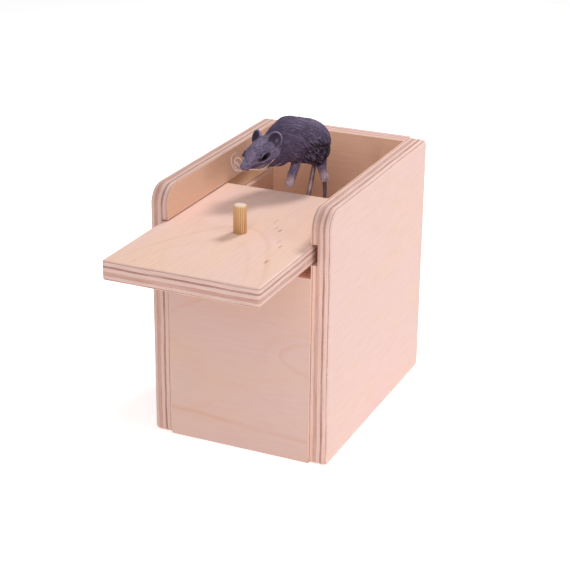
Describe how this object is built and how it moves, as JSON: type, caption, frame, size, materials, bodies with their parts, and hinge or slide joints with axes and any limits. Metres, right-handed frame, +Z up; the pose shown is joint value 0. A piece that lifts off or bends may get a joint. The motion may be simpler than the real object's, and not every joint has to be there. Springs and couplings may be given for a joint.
{
  "type": "surprise mouse box",
  "caption": "Plywood box with a sliding lid; drawing the lid forward turns a rack-driven wire arm that raises a rubber mouse out of the opening behind it.",
  "frame": {"origin": "centre of the box's bottom face", "axes": "+Z up, -Y the way the lid is drawn out, +X to the right seen from the front"},
  "size_m": [0.088, 0.1757, 0.1407],
  "materials": {
    "birch_plywood": "sanded, bare",
    "birch_dowel": "sanded, bare",
    "brass_bush": "turned",
    "gear_plastic": "moulded",
    "plated_screw": "zinc plated",
    "black_screw": "black oxide",
    "bright_steel": "drawn",
    "mouse_rubber": "matt, moulded fur",
    "eye_black": "polished",
    "whisker_plastic": "translucent bristle"
  },
  "bodies": {
    "box": {"left_side_panel": "birch_plywood", "right_side_panel": "birch_plywood", "front_panel": "birch_plywood", "back_panel": "birch_plywood", "bottom_panel": "birch_plywood", "front_panel_dowels": "birch_dowel", "back_panel_dowels": "birch_dowel", "bottom_panel_dowels": "birch_dowel", "axle_bush_left": "brass_bush", "axle_bush_right": "brass_bush"},
    "lid": {"lid_panel": "birch_plywood", "lid_knob": "birch_dowel", "drive_rack": "gear_plastic", "rack_screws": "plated_screw", "lid_stop_pins": "birch_dowel"},
    "arm": {"arm_axle": "bright_steel", "drive_pinion": "gear_plastic", "pinion_set_screw": "black_screw", "arm_hub": "brass_bush", "hub_set_screw": "black_screw", "arm_wire": "bright_steel", "mouse_body": "mouse_rubber", "mouse_head": "mouse_rubber", "mouse_ears": "mouse_rubber", "mouse_eyes": "eye_black", "mouse_front_legs": "mouse_rubber", "mouse_hind_legs": "mouse_rubber", "mouse_tail": "mouse_rubber", "mouse_whiskers": "whisker_plastic"}
  },
  "joints": [
    {"name": "lid_slide", "type": "slide", "parent": "box", "child": "lid", "axis": [0, 1, 0], "range_m": [0, 0.0525]},
    {"name": "arm_swing", "type": "hinge", "parent": "box", "child": "arm", "pos_m": [0, -0.012, 0.08245], "axis": [-1, 0, 0], "range_deg": [0, 182.35]}
  ],
  "couplings": [
    {"joint": "arm_swing", "follows": "lid_slide", "rad_per_m": 60.606}
  ]
}
